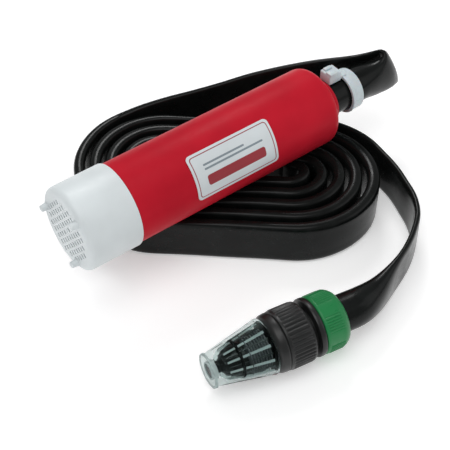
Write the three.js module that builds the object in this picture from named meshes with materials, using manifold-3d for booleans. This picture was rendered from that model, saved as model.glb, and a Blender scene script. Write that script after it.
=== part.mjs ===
// In-line submersible bilge pump with its discharge hose and a garden-hose nozzle.
//
// Millimetres, +Z up. The pump lies along +X: strainer at -X, outlet at +X, its long axis on
// the X axis. The origin is the middle of the rigid pump, from the strainer's feet to the end of
// the outlet's hose cuff. Positions along the pump are measured from the middle of its red and
// white housing, and one group moves them all to that origin. The pump rests on the coiled
// lay-flat hose, which stands on its edge on the floor below.

import * as THREE from 'three';
import { mergeVertices } from 'three/addons/utils/BufferGeometryUtils.js';
import Module from 'manifold-3d';

const wasm = await Module();
wasm.setup();

// ---------------------------------------------------------------- driving dimensions

const ORIGIN_X = 13; // the rigid pump's middle, from the middle of its housing
const GAP = 0.3; // clearance between neighbouring pieces
const OUTER_SIDES = 32; // sides of a round outer piece
const INNER_SIDES = 20; // sides of a round inner piece

// Strainer cap and pump shell, along X.
const CAP_RADIUS = 25;
const CAP_FACE_X = -88;
const CAP_END_X = -55;
const CAP_WALL = 2.2;
const CAP_FILLET = 3.5;
const FOOT_HEIGHT = 4;
const SHELL_RADIUS = 24;
const SHELL_BORE = 20.6;
const SHELL_END_X = 87;
const SHELL_FILLET = 6;
const SPIGOT_RADIUS = 22.3;
const SPIGOT_X = -66;

// Outlet: its axis lies a little below the pump's axis.
const OUTLET_Z = -1.2;
const BOSS_RADIUS = 14.5;
const BOSS_END_X = 94;
const BARB_RADIUS = 9.2;
const BARB_BORE = 7.2;
const BARB_END_X = 113;
const CUFF_END_X = 118;
const CUFF_RADIUS = 10.9;

// Sealed motor capsule inside the shell.
const CAPSULE_RADIUS = 16.5;
const CAPSULE_BORE = 15;
const CAPSULE_X = -38;
const CAPSULE_END_X = 56;
const SHAFT_RADIUS = 1.5;

// Lay-flat hose: a flat band that stands on its edge.
const HOSE_WIDTH = 28;
const HOSE_THICKNESS = 4.4;
const COILED_THICKNESS = 6.6; // it keeps some air where it is rolled
const FLOOR_Z = -SHELL_RADIUS - GAP - HOSE_WIDTH;
const COIL_Z = FLOOR_Z + HOSE_WIDTH / 2;
const TAIL_Z = COIL_Z + 0.2; // the loose stretches stay just clear of the floor

// Coil: a racetrack loop, turned in plan, that steps in by two layers on each turn. A share of a
// turn counts counter-clockwise from where the lead lands.
const COIL_CENTRE = new THREE.Vector2(28.4, 11.1);
const COIL_TURN = THREE.MathUtils.degToRad(-41);
const COIL_STRAIGHT = 40; // half of the straight length
const COIL_DEPTH = 49; // half of the depth, to the outermost layer's centre line
const LAYER_PITCH = 9.4;
const LEFT_SPREAD = 0; // more room between layers at the left end
const RIGHT_SPREAD = 1; // and at the right end
const LANDING_DEG = 128; // the lead lands at this angle of the left end
const FRONT_START = 0.3; // shares of a turn at which its stretches start
const RIGHT_START = 0.45;
const BACK_START = 0.75;
const LAST_START = 0.93;
const STEP_START = 0.55; // the step inwards, as shares of a turn
const STEP_END = 0.83;
const LEAVING = 0.7; // the tail leaves at this share

// Nozzle and hose connector, measured from the nozzle's tip towards the hose.
const FITTING_TIP = new THREE.Vector3(-68, -99, FLOOR_Z + 17.3);
const FITTING_TURN = THREE.MathUtils.degToRad(-9);
const CONE_LENGTH = 34.7;
const CONE_TIP_RADIUS = 9.4;
const CONE_REAR_RADIUS = 16;
const COLLAR_X = 35;
const SLEEVE_X = 41.4;
const SLEEVE_END_X = 57.4;
const SLEEVE_RADIUS = 17.2;
const FLANGE_X = 60;
const NUT_X = 63.8;
const NUT_END_X = 79.2;
const NUT_RADIUS = 17;
const HOSE_END_X = 86;

// Route of the hose from the outlet's cuff round the fold and down to the coil.
const LEAD_POINTS = [
  [CUFF_END_X + 1, 0, OUTLET_Z],
  [123, -0.3, -1.3],
  [129, -1.6, -1.9],
  [135, -3, -2.6],
  [140.5, -3.9, -3.1],
  [144.6, -3, -3.4],
  [146.6, 0, -3.5],
  [145, 3.4, -3.5],
  [140, 6.6, -3.6],
  [131, 11.5, -4.2],
  [120, 18.5, -6],
  [106, 28, -9],
  [92, 37.5, -12.5],
  [76, 47.5, -17],
  [60, 56.5, -22],
  [44, 66, -27],
  [28, 75.5, -31.5],
  [12, 84.5, -35.5],
];

// Route of the hose from the coil to the connector. Its start, on the coil, is worked out below.
const TAIL_POINTS = [
  [107.5, -51.5, TAIL_Z],
  [103.5, -64.5, TAIL_Z],
  [99, -76.5, TAIL_Z],
  [91.5, -87.5, TAIL_Z],
  [80.5, -96, TAIL_Z],
  [67.5, -103, TAIL_Z],
  [52, -108.5, TAIL_Z],
  [37, -112, TAIL_Z + 0.6],
];

// ---------------------------------------------------------------- materials

function paint(color, roughness, metalness = 0) {
  return new THREE.MeshStandardMaterial({ color, roughness, metalness });
}

const RED = paint(0xbe2434, 0.32);
const WHITE = paint(0xd7dee0, 0.4);
const LABEL = paint(0xdfe4e6, 0.45);
const BLACK = paint(0x1c1d1f, 0.5);
const GREEN = paint(0x227d3c, 0.35);
const GREY = paint(0x55585c, 0.5);
const RUBBER = paint(0x1a1a1b, 0.75);
const CLEAR = paint(0xc9d2d4, 0.1);
const STEEL = paint(0xb4b8bb, 0.3, 1);
const COPPER = paint(0xb3673c, 0.35, 1);
const BRASS = paint(0xb99a4e, 0.35, 1);
const MAGNET = paint(0x3a3b3d, 0.6, 0.4);
const CARBON = paint(0x26262a, 0.8);

// ---------------------------------------------------------------- shape helpers

// A solid of revolution about the X axis; each point is [x, radius].
function turned(points, segments = INNER_SIDES) {
  const profile = points.map(([x, radius]) => new THREE.Vector2(radius, x));
  return new THREE.LatheGeometry(profile, segments).rotateZ(-Math.PI / 2);
}

// A hollow round piece: the profile closes on itself.
function tube(startX, endX, bore, radius, segments = INNER_SIDES) {
  const profile = [[startX, bore], [startX, radius], [endX, radius], [endX, bore], [startX, bore]];
  return turned(profile, segments);
}

// A round rod, solid to its axis.
function rod(startX, endX, radius, segments = INNER_SIDES) {
  return turned([[startX, 0], [startX, radius], [endX, radius], [endX, 0]], segments);
}

// An O-ring about the X axis.
function oRing(x, radius, thickness) {
  const sides = 6;
  const profile = [];
  for (let i = 0; i <= sides; i += 1) {
    const angle = (2 * Math.PI * (i % sides)) / sides;
    profile.push([x + thickness * Math.sin(angle), radius + thickness * Math.cos(angle)]);
  }
  return turned(profile);
}

// Points of a quarter-round edge from one angle to another, about a centre in the profile.
function arcPoints(centreX, centreRadius, radius, fromDeg, toDeg, steps) {
  const points = [];
  for (let i = 0; i <= steps; i += 1) {
    const angle = THREE.MathUtils.degToRad(fromDeg + ((toDeg - fromDeg) * i) / steps);
    points.push([centreX + radius * Math.cos(angle), centreRadius + radius * Math.sin(angle)]);
  }
  return points;
}

function box(sizeX, sizeY, sizeZ, x, y, z) {
  return new THREE.BoxGeometry(sizeX, sizeY, sizeZ).translate(x, y, z);
}

// A closed geometry as a manifold solid.
function solid(geometry) {
  const bare = geometry.clone();
  bare.deleteAttribute('normal');
  bare.deleteAttribute('uv');
  const merged = mergeVertices(bare, 1e-4);
  const vertProperties = new Float32Array(merged.attributes.position.array);
  const triVerts = new Uint32Array(merged.index.array);
  return new wasm.Manifold(new wasm.Mesh({ numProp: 3, vertProperties, triVerts }));
}

// A manifold solid as a geometry.
function geometryOf(shape) {
  const result = shape.getMesh();
  const geometry = new THREE.BufferGeometry();
  geometry.setAttribute('position', new THREE.BufferAttribute(result.vertProperties, 3));
  geometry.setIndex(new THREE.BufferAttribute(result.triVerts, 1));
  geometry.computeVertexNormals();
  return geometry;
}

function joined(first, ...others) {
  return others.reduce((shape, other) => shape.add(solid(other)), solid(first));
}

function cut(shape, cutters) {
  return cutters.reduce((left, cutter) => left.subtract(solid(cutter)), shape);
}

// Copies of a geometry, evenly spaced about the X axis.
function around(geometry, count) {
  return Array.from({ length: count }, (_, i) => geometry.clone().rotateX((2 * Math.PI * i) / count));
}

// A sector of a tube about the X axis, between two angles from +Y towards +Z.
function arcPlate(startX, endX, bore, radius, fromDeg, toDeg) {
  const from = THREE.MathUtils.degToRad(fromDeg);
  const to = THREE.MathUtils.degToRad(toDeg);
  const outline = new THREE.Shape();
  outline.absarc(0, 0, radius, from, to, false);
  outline.absarc(0, 0, bore, to, from, true);
  const settings = { depth: endX - startX, bevelEnabled: false, curveSegments: 8 };
  const plate = new THREE.ExtrudeGeometry(outline, settings);
  // The outline's x, y and depth become the pump's y, z and x.
  plate.applyMatrix4(new THREE.Matrix4().set(0, 0, 1, startX, 1, 0, 0, 0, 0, 1, 0, 0, 0, 0, 0, 1));
  return plate;
}

const object = new THREE.Group();
const assembly = new THREE.Group();
assembly.position.x = -ORIGIN_X;
object.add(assembly);

function add(name, shape, material, group = assembly) {
  const geometry = shape.isBufferGeometry ? shape : geometryOf(shape);
  const mesh = new THREE.Mesh(geometry, material);
  mesh.name = name;
  group.add(mesh);
  return mesh;
}

// ---------------------------------------------------------------- strainer

const FACE_TURN = THREE.MathUtils.degToRad(41);
const SLOT_ROWS = 9;
const ROW_PITCH = 4;
const SLOT_PITCH = 3.9;
const SLOT_LENGTH = 2.7;
const SLOT_WIDTH = 1.8;
const SLOT_FIELD_RADIUS = 19;
const FOOT_ANGLES = [9, 129, 249];
const FOOT_CIRCLE = 20;
const FOOT_RADIUS = 1.8;
const FOOT_BASE_RADIUS = 2.4;

// Intake slots: rows across the face, as many slots in each as the round field holds.
function intakeSlots() {
  const slots = [];
  for (let row = 0; row < SLOT_ROWS; row += 1) {
    const offset = (row - (SLOT_ROWS - 1) / 2) * ROW_PITCH;
    const halfRow = Math.sqrt(SLOT_FIELD_RADIUS ** 2 - offset ** 2);
    const reach = Math.floor(halfRow / SLOT_PITCH);
    for (let i = -reach; i <= reach; i += 1) {
      if (row === (SLOT_ROWS - 1) / 2 && i === 0) continue; // the moulding's centre stays solid
      const slot = box(12, SLOT_LENGTH, SLOT_WIDTH, CAP_FACE_X, offset, i * SLOT_PITCH);
      slots.push(slot.rotateX(FACE_TURN));
    }
  }
  return slots;
}

function foot(angleDeg) {
  const height = FOOT_HEIGHT + 1;
  const angle = THREE.MathUtils.degToRad(angleDeg);
  const post = new THREE.CylinderGeometry(FOOT_RADIUS, FOOT_BASE_RADIUS, height, 12).rotateZ(Math.PI / 2);
  const x = CAP_FACE_X - FOOT_HEIGHT + height / 2;
  return post.translate(x, FOOT_CIRCLE * Math.cos(angle), FOOT_CIRCLE * Math.sin(angle));
}

function strainerCap() {
  const inside = CAP_RADIUS - CAP_WALL;
  const outerEdge = arcPoints(CAP_FACE_X + CAP_FILLET, CAP_RADIUS - CAP_FILLET, CAP_FILLET, 180, 90, 4);
  const innerX = CAP_FACE_X + CAP_WALL;
  const cup = turned([
    [CAP_FACE_X, 0],
    ...outerEdge,
    [CAP_END_X, CAP_RADIUS],
    [CAP_END_X, inside],
    [innerX + 4, inside],
    [innerX, inside - 4],
    [innerX, 0],
  ], OUTER_SIDES);
  const feet = FOOT_ANGLES.map(foot);
  return cut(joined(cup, ...feet), intakeSlots());
}

add('strainer_cap', strainerCap(), WHITE);
add('cap_seal', tube(SPIGOT_X - 1.6, SPIGOT_X - GAP, 20.9, SPIGOT_RADIUS, 28), RUBBER);

// ---------------------------------------------------------------- pump shell and outlet

const GROMMET_Y = 14;
const GROMMET_Z = 11.5;
const GROMMET_HOLE = 3.4;

function outletBarb() {
  const ridge = BARB_RADIUS;
  const valley = BARB_RADIUS - 0.5;
  const profile = [[BOSS_END_X - 2, 0], [BOSS_END_X - 2, valley], [BOSS_END_X + 1, valley]];
  for (const x of [99, 107]) {
    profile.push([x, ridge], [x + 0.6, ridge], [x + 0.6, valley]);
  }
  profile.push([BARB_END_X - 2, valley], [BARB_END_X, valley - 1], [BARB_END_X, 0]);
  return turned(profile).translate(0, 0, OUTLET_Z);
}

function pumpShell() {
  const shoulder = arcPoints(SHELL_END_X - SHELL_FILLET, SHELL_RADIUS - SHELL_FILLET, SHELL_FILLET, 90, 0, 4);
  const body = turned([
    [SPIGOT_X, 0],
    [SPIGOT_X, SPIGOT_RADIUS],
    [CAP_END_X + GAP, SPIGOT_RADIUS],
    [CAP_END_X + GAP, SHELL_RADIUS],
    ...shoulder,
    [SHELL_END_X, 0],
  ], OUTER_SIDES);
  const bossEdge = arcPoints(BOSS_END_X - 2.5, BOSS_RADIUS - 2.5, 2.5, 90, 0, 3);
  const boss = turned([[78, 0], [78, BOSS_RADIUS], ...bossEdge, [BOSS_END_X, 0]], 24);
  boss.translate(0, 0, OUTLET_Z);
  const cavity = turned([[-80, 0], [-80, SHELL_BORE], [74, SHELL_BORE], [83, 11], [83, 0]], 28);
  const outlet = rod(80, 120, BARB_BORE).translate(0, 0, OUTLET_Z);
  const cableHole = rod(70, 100, GROMMET_HOLE, 16).translate(0, GROMMET_Y, GROMMET_Z);
  return cut(joined(body, boss, outletBarb()), [cavity, outlet, cableHole]);
}

function cableGrommet() {
  const profile = [[79, 0], [79, 3.1], [87, 3.1], [87.4, 2.6], [87.4, 0]];
  return turned(profile, 16).translate(0, GROMMET_Y, GROMMET_Z);
}

add('pump_shell', pumpShell(), RED);
add('cable_grommet', cableGrommet(), BLACK);

const LABEL_X = [-18, 38];
const LABEL_ANGLES = [117, 181]; // from +Y over the top towards -Y
const labelBore = SHELL_RADIUS + 0.25;
add('label_plate', arcPlate(...LABEL_X, labelBore, labelBore + 0.5, ...LABEL_ANGLES), LABEL);

// ---------------------------------------------------------------- hose cuff and clamp

const CLAMP_X = 105.5;
const CLAMP_END_X = 114;
const CLAMP_RADIUS = 12.9;

// A band round the cuff, whose ratchet block stands over the cuff on the pump's side of it. Heights
// are from the outlet's axis.
function hoseClamp() {
  const band = tube(CLAMP_X, CLAMP_END_X, CUFF_RADIUS + GAP, CLAMP_RADIUS, 28);
  const block = box(9.4, 9, 7, 98.8, 2, 15.6);
  const arm = box(6, 6, 2.6, 104.5, 2, 12.7);
  const thumbPad = box(7, 11, 2.2, 97.6, 2, 20);
  const slit = box(14, 1.2, 4.5, 99.5, 2, 19);
  const cuffRoom = rod(90, 120, CUFF_RADIUS + GAP, 28);
  const bossRoom = rod(80, BOSS_END_X + GAP, BOSS_RADIUS + 1);
  const shape = joined(band, block, arm, thumbPad);
  return cut(shape, [slit, cuffRoom, bossRoom]).translate([0, 0, OUTLET_Z]);
}

const cuff = tube(BOSS_END_X + GAP, CUFF_END_X, BARB_RADIUS + GAP, CUFF_RADIUS, 24);
add('hose_cuff', cuff.translate(0, 0, OUTLET_Z), RUBBER);
add('hose_clamp', hoseClamp(), CLEAR);

// ---------------------------------------------------------------- wet end: plate, impeller, vanes

const VANE_COUNT = 5;
const IMPELLER_RADIUS = 14;

function impeller() {
  const hub = tube(-48.5, -40, SHAFT_RADIUS + 0.1, 4.2);
  const disc = tube(-42, -40, SHAFT_RADIUS + 0.1, IMPELLER_RADIUS);
  const blade = box(5.5, IMPELLER_RADIUS - 4.4, 1.4, -44.6, IMPELLER_RADIUS / 2 + 1.6, 0);
  const slanted = blade.rotateX(-0.1).translate(0, 0, 1.6);
  return joined(hub, disc, ...around(slanted, VANE_COUNT));
}

function vaneRing(startX, endX, count) {
  const ring = tube(startX, endX, CAPSULE_RADIUS + GAP, CAPSULE_RADIUS + 1.4);
  const fin = box(endX - startX, 3.1, 1.2, (startX + endX) / 2, 18.75, 0);
  return joined(ring, ...around(fin, count));
}

add('inlet_plate', tube(-54.5, -52, 8, SHELL_BORE - GAP, 24), GREY);
add('volute_ring', tube(-51.7, -39.5, 16, SHELL_BORE - GAP, 24), GREY);
add('impeller', impeller(), WHITE);
add('guide_vanes', vaneRing(-36, -22, 8), GREY);
add('rear_spider', vaneRing(34, 46, 4), GREY);

// ---------------------------------------------------------------- motor capsule and motor

const CAN_RADIUS = 14.6;
const CAN_BORE = 13.4;
const MAGNET_BORE = 11;
const ARMATURE_RADIUS = 10.3;

function motorCapsule() {
  return turned([
    [CAPSULE_X, 5.4],
    [CAPSULE_X, CAPSULE_RADIUS - 2],
    [CAPSULE_X + 2, CAPSULE_RADIUS],
    [CAPSULE_END_X, CAPSULE_RADIUS],
    [CAPSULE_END_X, CAPSULE_BORE],
    [CAPSULE_X + 5, CAPSULE_BORE],
    [CAPSULE_X + 5, 2],
    [CAPSULE_X + 3, 2],
    [CAPSULE_X + 3, 5.4],
    [CAPSULE_X, 5.4],
  ]);
}

// The capsule's rear plug, with a groove for its O-ring and a hole for the leads.
function capsulePlug() {
  const end = CAPSULE_END_X;
  return turned([
    [end - 8, 2.4],
    [end - 8, 14.7],
    [end - 5.2, 14.7],
    [end - 5.2, 13.4],
    [end - 2.8, 13.4],
    [end - 2.8, 14.7],
    [end + GAP, 14.7],
    [end + GAP, CAPSULE_RADIUS],
    [end + 2.5, CAPSULE_RADIUS - 1],
    [end + 2.5, 2.4],
    [end - 8, 2.4],
  ]);
}

function motorCan() {
  return turned([
    [-32.5, 3.9],
    [-32.5, CAN_RADIUS],
    [33, CAN_RADIUS],
    [33, CAN_BORE],
    [-31, CAN_BORE],
    [-31, 3.9],
    [-32.5, 3.9],
  ]);
}

function endBell() {
  return turned([
    [33.3, 3.9],
    [33.3, CAN_RADIUS],
    [36.5, CAN_RADIUS],
    [36.5, 8],
    [39.5, 7],
    [39.5, 3.9],
    [33.3, 3.9],
  ]);
}

// Laminated core with open slots between its poles.
function armature() {
  const core = tube(-20, 14, SHAFT_RADIUS + 0.1, ARMATURE_RADIUS, 30);
  const slot = box(40, 6.5, 2.4, -3, 8.5, 0);
  return cut(solid(core), around(slot, 5));
}

add('shaft', rod(-49, 38.5, SHAFT_RADIUS), STEEL);
add('shaft_seal', tube(-37.8, -35.4, SHAFT_RADIUS + 0.2, 5.1), RUBBER);
add('motor_capsule', motorCapsule(), GREY);
add('capsule_plug', capsulePlug(), BLACK);
add('capsule_o_ring', oRing(CAPSULE_END_X - 4, 14.2, 0.65), RUBBER);
add('motor_can', motorCan(), STEEL);
add('front_bearing', tube(-32.3, -29, SHAFT_RADIUS + 0.2, 3.7), BRASS);
add('rear_bearing', tube(34, 38, SHAFT_RADIUS + 0.2, 3.7), BRASS);
add('end_bell', endBell(), BLACK);
add('magnet_top', arcPlate(-22, 18, MAGNET_BORE, CAN_BORE - GAP, 20, 160), MAGNET);
add('magnet_bottom', arcPlate(-22, 18, MAGNET_BORE, CAN_BORE - GAP, 200, 340), MAGNET);
add('armature', armature(), STEEL);
add('front_winding', tube(-26, -20.3, SHAFT_RADIUS + 1.2, 8.2), COPPER);
add('rear_winding', tube(14.3, 20, SHAFT_RADIUS + 1.2, 8.2), COPPER);
add('commutator', tube(21, 31, SHAFT_RADIUS + 0.1, 4.4), COPPER);
add('brush_left', box(5, 6, 4, 26, 7.9, 0), CARBON);
add('brush_right', box(5, 6, 4, 26, -7.9, 0), CARBON);

// ---------------------------------------------------------------- hose

// The flat section: half-round edges, as points of [up, sideways].
function hoseSection() {
  const edge = HOSE_THICKNESS / 2;
  const reach = HOSE_WIDTH / 2 - edge;
  const points = [];
  for (const side of [1, -1]) {
    for (let i = 0; i <= 4; i += 1) {
      const angle = -Math.PI / 2 + (Math.PI * i) / 4;
      points.push([side * (reach + edge * Math.cos(angle)), side * edge * Math.sin(angle)]);
    }
  }
  return points;
}

// The flat hose along a route, standing on its edge all the way.
function hoseAlong(points, steps) {
  const route = points.map(([x, y, z]) => new THREE.Vector3(x, y, z));
  const path = new THREE.CatmullRomCurve3(route, false, 'centripetal');
  const section = hoseSection();
  const sides = section.length;
  const positions = [];
  const triangles = [];
  for (let i = 0; i <= steps; i += 1) {
    const centre = path.getPointAt(i / steps);
    const heading = path.getTangentAt(i / steps);
    const sideways = heading.clone().cross(new THREE.Vector3(0, 0, 1)).normalize();
    const up = sideways.clone().cross(heading);
    for (const [height, through] of section) {
      positions.push(...centre.clone().addScaledVector(up, height).addScaledVector(sideways, through));
    }
  }
  for (let i = 0; i < steps; i += 1) {
    for (let k = 0; k < sides; k += 1) {
      const next = (k + 1) % sides;
      const [a, b] = [i * sides, (i + 1) * sides];
      triangles.push(a + k, a + next, b + next, a + k, b + next, b + k);
    }
  }
  const last = steps * sides;
  for (let k = 1; k < sides - 1; k += 1) {
    triangles.push(0, k + 1, k, last, last + k, last + k + 1);
  }
  const geometry = new THREE.BufferGeometry();
  geometry.setAttribute('position', new THREE.Float32BufferAttribute(positions, 3));
  geometry.setIndex(triangles);
  geometry.computeVertexNormals();
  return geometry;
}

// A point of the racetrack loop: along and across the coil, turned into plan.
function coilPoint(along, across) {
  return new THREE.Vector2(along, across).rotateAround(new THREE.Vector2(), COIL_TURN).add(COIL_CENTRE);
}

// A point of a round end of the loop.
function endPoint(centre, radius, turnDeg) {
  const angle = THREE.MathUtils.degToRad(turnDeg);
  return coilPoint(centre + radius * Math.cos(angle), radius * Math.sin(angle));
}

// The loop at a share of a turn, a number of layers inside the outermost centre line.
function loopPoint(share, layers) {
  const { mapLinear } = THREE.MathUtils;
  const radius = COIL_DEPTH - LAYER_PITCH * layers;
  const left = -COIL_STRAIGHT - LEFT_SPREAD * layers;
  const right = COIL_STRAIGHT - RIGHT_SPREAD * layers;
  if (share < FRONT_START) {
    return endPoint(left, radius, mapLinear(share, 0, FRONT_START, LANDING_DEG, 270));
  }
  if (share < RIGHT_START) {
    return coilPoint(mapLinear(share, FRONT_START, RIGHT_START, left, right), -radius);
  }
  if (share < BACK_START) {
    return endPoint(right, radius, mapLinear(share, RIGHT_START, BACK_START, -90, 90));
  }
  if (share < LAST_START) {
    return coilPoint(mapLinear(share, BACK_START, LAST_START, right, left), radius);
  }
  return endPoint(left, radius, mapLinear(share, LAST_START, 1, 90, LANDING_DEG));
}

// How far the strands have stepped in at a share of a turn, in layers.
function stepIn(share) {
  return 2 * THREE.MathUtils.smoothstep(share, STEP_START, STEP_END);
}

// The coil's outline. The lead's strand is outermost until the tail's lies outside it.
function coilOutline() {
  const halfLayer = COILED_THICKNESS / 2 / LAYER_PITCH;
  const steps = 60;
  const points = [];
  for (let i = 0; i < steps; i += 1) {
    const share = (i + 0.5) / steps;
    const start = share < LEAVING ? 0 : -1;
    points.push(loopPoint(share, start + stepIn(share) - halfLayer));
  }
  return new THREE.Shape(points);
}

function coilSolid() {
  const settings = { depth: HOSE_WIDTH, bevelEnabled: false };
  return new THREE.ExtrudeGeometry(coilOutline(), settings).translate(0, 0, FLOOR_Z);
}

// Where the lead's centre line meets the coil.
function landingPoint(turnDeg) {
  const p = endPoint(-COIL_STRAIGHT, COIL_DEPTH, turnDeg);
  return [p.x, p.y, TAIL_Z + 0.3];
}

// A point of the tail's centre line beside the coil, one layer outside it.
function leavingPoint(share) {
  const p = loopPoint(share, stepIn(share) - 1);
  return [p.x, p.y, TAIL_Z];
}

// From the nozzle's own frame to the object's.
const fitting = new THREE.Group();
fitting.position.copy(FITTING_TIP);
fitting.rotation.z = FITTING_TURN;
fitting.updateMatrix();
assembly.add(fitting);

function fittingPoint(distance) {
  return new THREE.Vector3(distance, 0, 0).applyMatrix4(fitting.matrix).toArray();
}

const leadRoute = [...LEAD_POINTS, landingPoint(LANDING_DEG - 10), landingPoint(LANDING_DEG - 4)];
const tailShares = [0.005, 0.02, 0.04, 0.06].map((share) => LEAVING - share);
const tailRoute = [
  ...tailShares.map(leavingPoint),
  ...TAIL_POINTS,
  fittingPoint(HOSE_END_X + 6),
  fittingPoint(HOSE_END_X + GAP),
];
add('hose_lead', hoseAlong(leadRoute, 32), RUBBER);
add('hose_coil', coilSolid(), RUBBER);
add('hose_tail', hoseAlong(tailRoute, 24), RUBBER);

// ---------------------------------------------------------------- nozzle

const TIP_HOLE = 4;
const NOZZLE_BORE = 3;

function nozzleCone() {
  const rearBore = CONE_REAR_RADIUS - 2;
  return turned([
    [0, TIP_HOLE],
    [0, CONE_TIP_RADIUS + 0.6],
    [1.6, CONE_TIP_RADIUS + 0.6],
    [2.2, CONE_TIP_RADIUS],
    [CONE_LENGTH, CONE_REAR_RADIUS],
    [CONE_LENGTH, rearBore],
    [17, 11.1],
    [8, 7.8],
    [5, 5.2],
    [5, TIP_HOLE],
    [0, TIP_HOLE],
  ], 28);
}

// The pin in the tip, the stem with its O-ring seat, the collar behind the cone and the plug for
// the connector.
function nozzleStem() {
  const stem = turned([
    [1.5, 0],
    [1.5, 2.6],
    [6.5, 3.2],
    [8.5, 5.6],
    [12, 7.4],
    [15, 8.8],
    [18.1, 8.8],
    [18.1, 9.4],
    [20.5, 9.6],
    [20.5, 5.4],
    [33.8, 5.4],
    [COLLAR_X, 9],
    [COLLAR_X, 14],
    [COLLAR_X + 2.2, 16.2],
    [SLEEVE_X - GAP, 16.8],
    [SLEEVE_X - GAP, 6.8],
    [48.8, 5.4],
    [57.8, 5.4],
    [57.8, 0],
  ]);
  const waterway = rod(11, 70, NOZZLE_BORE, 16);
  const port = new THREE.CylinderGeometry(1.4, 1.4, 20, 8).translate(11.6, 0, 0);
  return cut(solid(stem), [waterway, port, port.clone().rotateX(Math.PI / 2)]);
}

add('nozzle_cone', nozzleCone(), CLEAR, fitting);
add('nozzle_stem', nozzleStem(), BLACK, fitting);
add('cone_o_ring', oRing(17, 9.9, 0.9), RUBBER, fitting);
add('thread_bush', tube(21, 33.5, 5.7, 11.3, 24), GREY, fitting);

// ---------------------------------------------------------------- hose connector

function lockSleeve() {
  return turned([
    [SLEEVE_X, 12.6],
    [SLEEVE_X, 16.6],
    [SLEEVE_X + 1.2, SLEEVE_RADIUS],
    [SLEEVE_END_X - 1.2, SLEEVE_RADIUS],
    [SLEEVE_END_X, 16.6],
    [SLEEVE_END_X, 14.4],
    [SLEEVE_X + 2, 14.4],
    [SLEEVE_X + 2, 12.6],
    [SLEEVE_X, 12.6],
  ], 28);
}

// The connector's socket, its flange in front of the nut and the barbed tail inside the hose.
function connectorBody() {
  return turned([
    [42.4, 9.2],
    [42.4, 12],
    [47.8, 12.2],
    [FLANGE_X, 12.2],
    [FLANGE_X, 16],
    [FLANGE_X + 0.8, 16.8],
    [NUT_X - GAP - 0.6, 16.8],
    [NUT_X - GAP, 16],
    [NUT_X - GAP, 13.2],
    [69.8, 13.2],
    [69.8, BARB_RADIUS],
    [81.8, BARB_RADIUS - 0.4],
    [81.8, BARB_BORE],
    [58.8, BARB_BORE],
    [58.8, 6],
    [55.3, 6],
    [55.3, 7.2],
    [52.3, 7.2],
    [52.3, 6],
    [48.8, 9.2],
    [42.4, 9.2],
  ], 24);
}

function lockClaws() {
  const ring = tube(44.8, 48.3, 7.3, 8.9);
  const slot = box(5, 4, 1.4, 45.3, 8, 0);
  return cut(solid(ring), around(slot, 6));
}

const SPRING_X = SLEEVE_X + 2.9;
const SPRING_LENGTH = FLANGE_X - SPRING_X - 0.9;

// A helix about the X axis, its wire a six-sided section.
function sleeveSpring() {
  const turns = 4;
  const stepsPerTurn = 12;
  const points = [];
  for (let i = 0; i <= turns * stepsPerTurn; i += 1) {
    const angle = (2 * Math.PI * i) / stepsPerTurn;
    const x = SPRING_X + (SPRING_LENGTH * i) / (turns * stepsPerTurn);
    points.push(new THREE.Vector3(x, 13.3 * Math.cos(angle), 13.3 * Math.sin(angle)));
  }
  const wire = new THREE.Shape();
  wire.absarc(0, 0, 0.45, 0, 2 * Math.PI);
  const path = new THREE.CatmullRomCurve3(points);
  const settings = { steps: turns * stepsPerTurn, curveSegments: 3, bevelEnabled: false, extrudePath: path };
  return new THREE.ExtrudeGeometry(wire, settings);
}

function clampNut() {
  return turned([
    [NUT_X, 13.5],
    [NUT_X, NUT_RADIUS - 0.8],
    [NUT_X + 0.8, NUT_RADIUS],
    [NUT_END_X - 4, NUT_RADIUS],
    [NUT_END_X - 1.2, NUT_RADIUS - 1.2],
    [NUT_END_X, NUT_RADIUS - 3],
    [NUT_END_X, 11.6],
    [NUT_END_X - 2.5, 11.6],
    [NUT_END_X - 6.5, 13.5],
    [NUT_X, 13.5],
  ], 28);
}

// The collet that the nut presses on to the hose: a ring split into fingers.
function gripRing() {
  const ring = tube(70.4, 73.6, 11.3, 12.2, 24);
  const slot = box(4, 4, 1.2, 73.4, 12, 0);
  return cut(solid(ring), around(slot, 8));
}

add('lock_sleeve', lockSleeve(), BLACK, fitting);
add('connector_body', connectorBody(), BLACK, fitting);
add('lock_claws', lockClaws(), WHITE, fitting);
add('sleeve_spring', sleeveSpring(), STEEL, fitting);
add('connector_seal', oRing(53.8, 6.3, 0.6), RUBBER, fitting);
add('clamp_nut', clampNut(), GREEN, fitting);
add('grip_ring', gripRing(), WHITE, fitting);
add('hose_end', tube(70.2, HOSE_END_X, BARB_RADIUS + GAP, CUFF_RADIUS + 0.1, 24), RUBBER, fitting);

export default object;
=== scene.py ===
"""The bilge pump on its coiled lay-flat hose, with the hose's nozzle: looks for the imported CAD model.

Millimetres in the tables and functions below, metres in Blender. Places along the pump are
measured from the middle of its housing, as in part.mjs, and place() moves them to the row frame.
"""

import math

import bmesh
import bpy
from mathutils import Matrix, Vector


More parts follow.
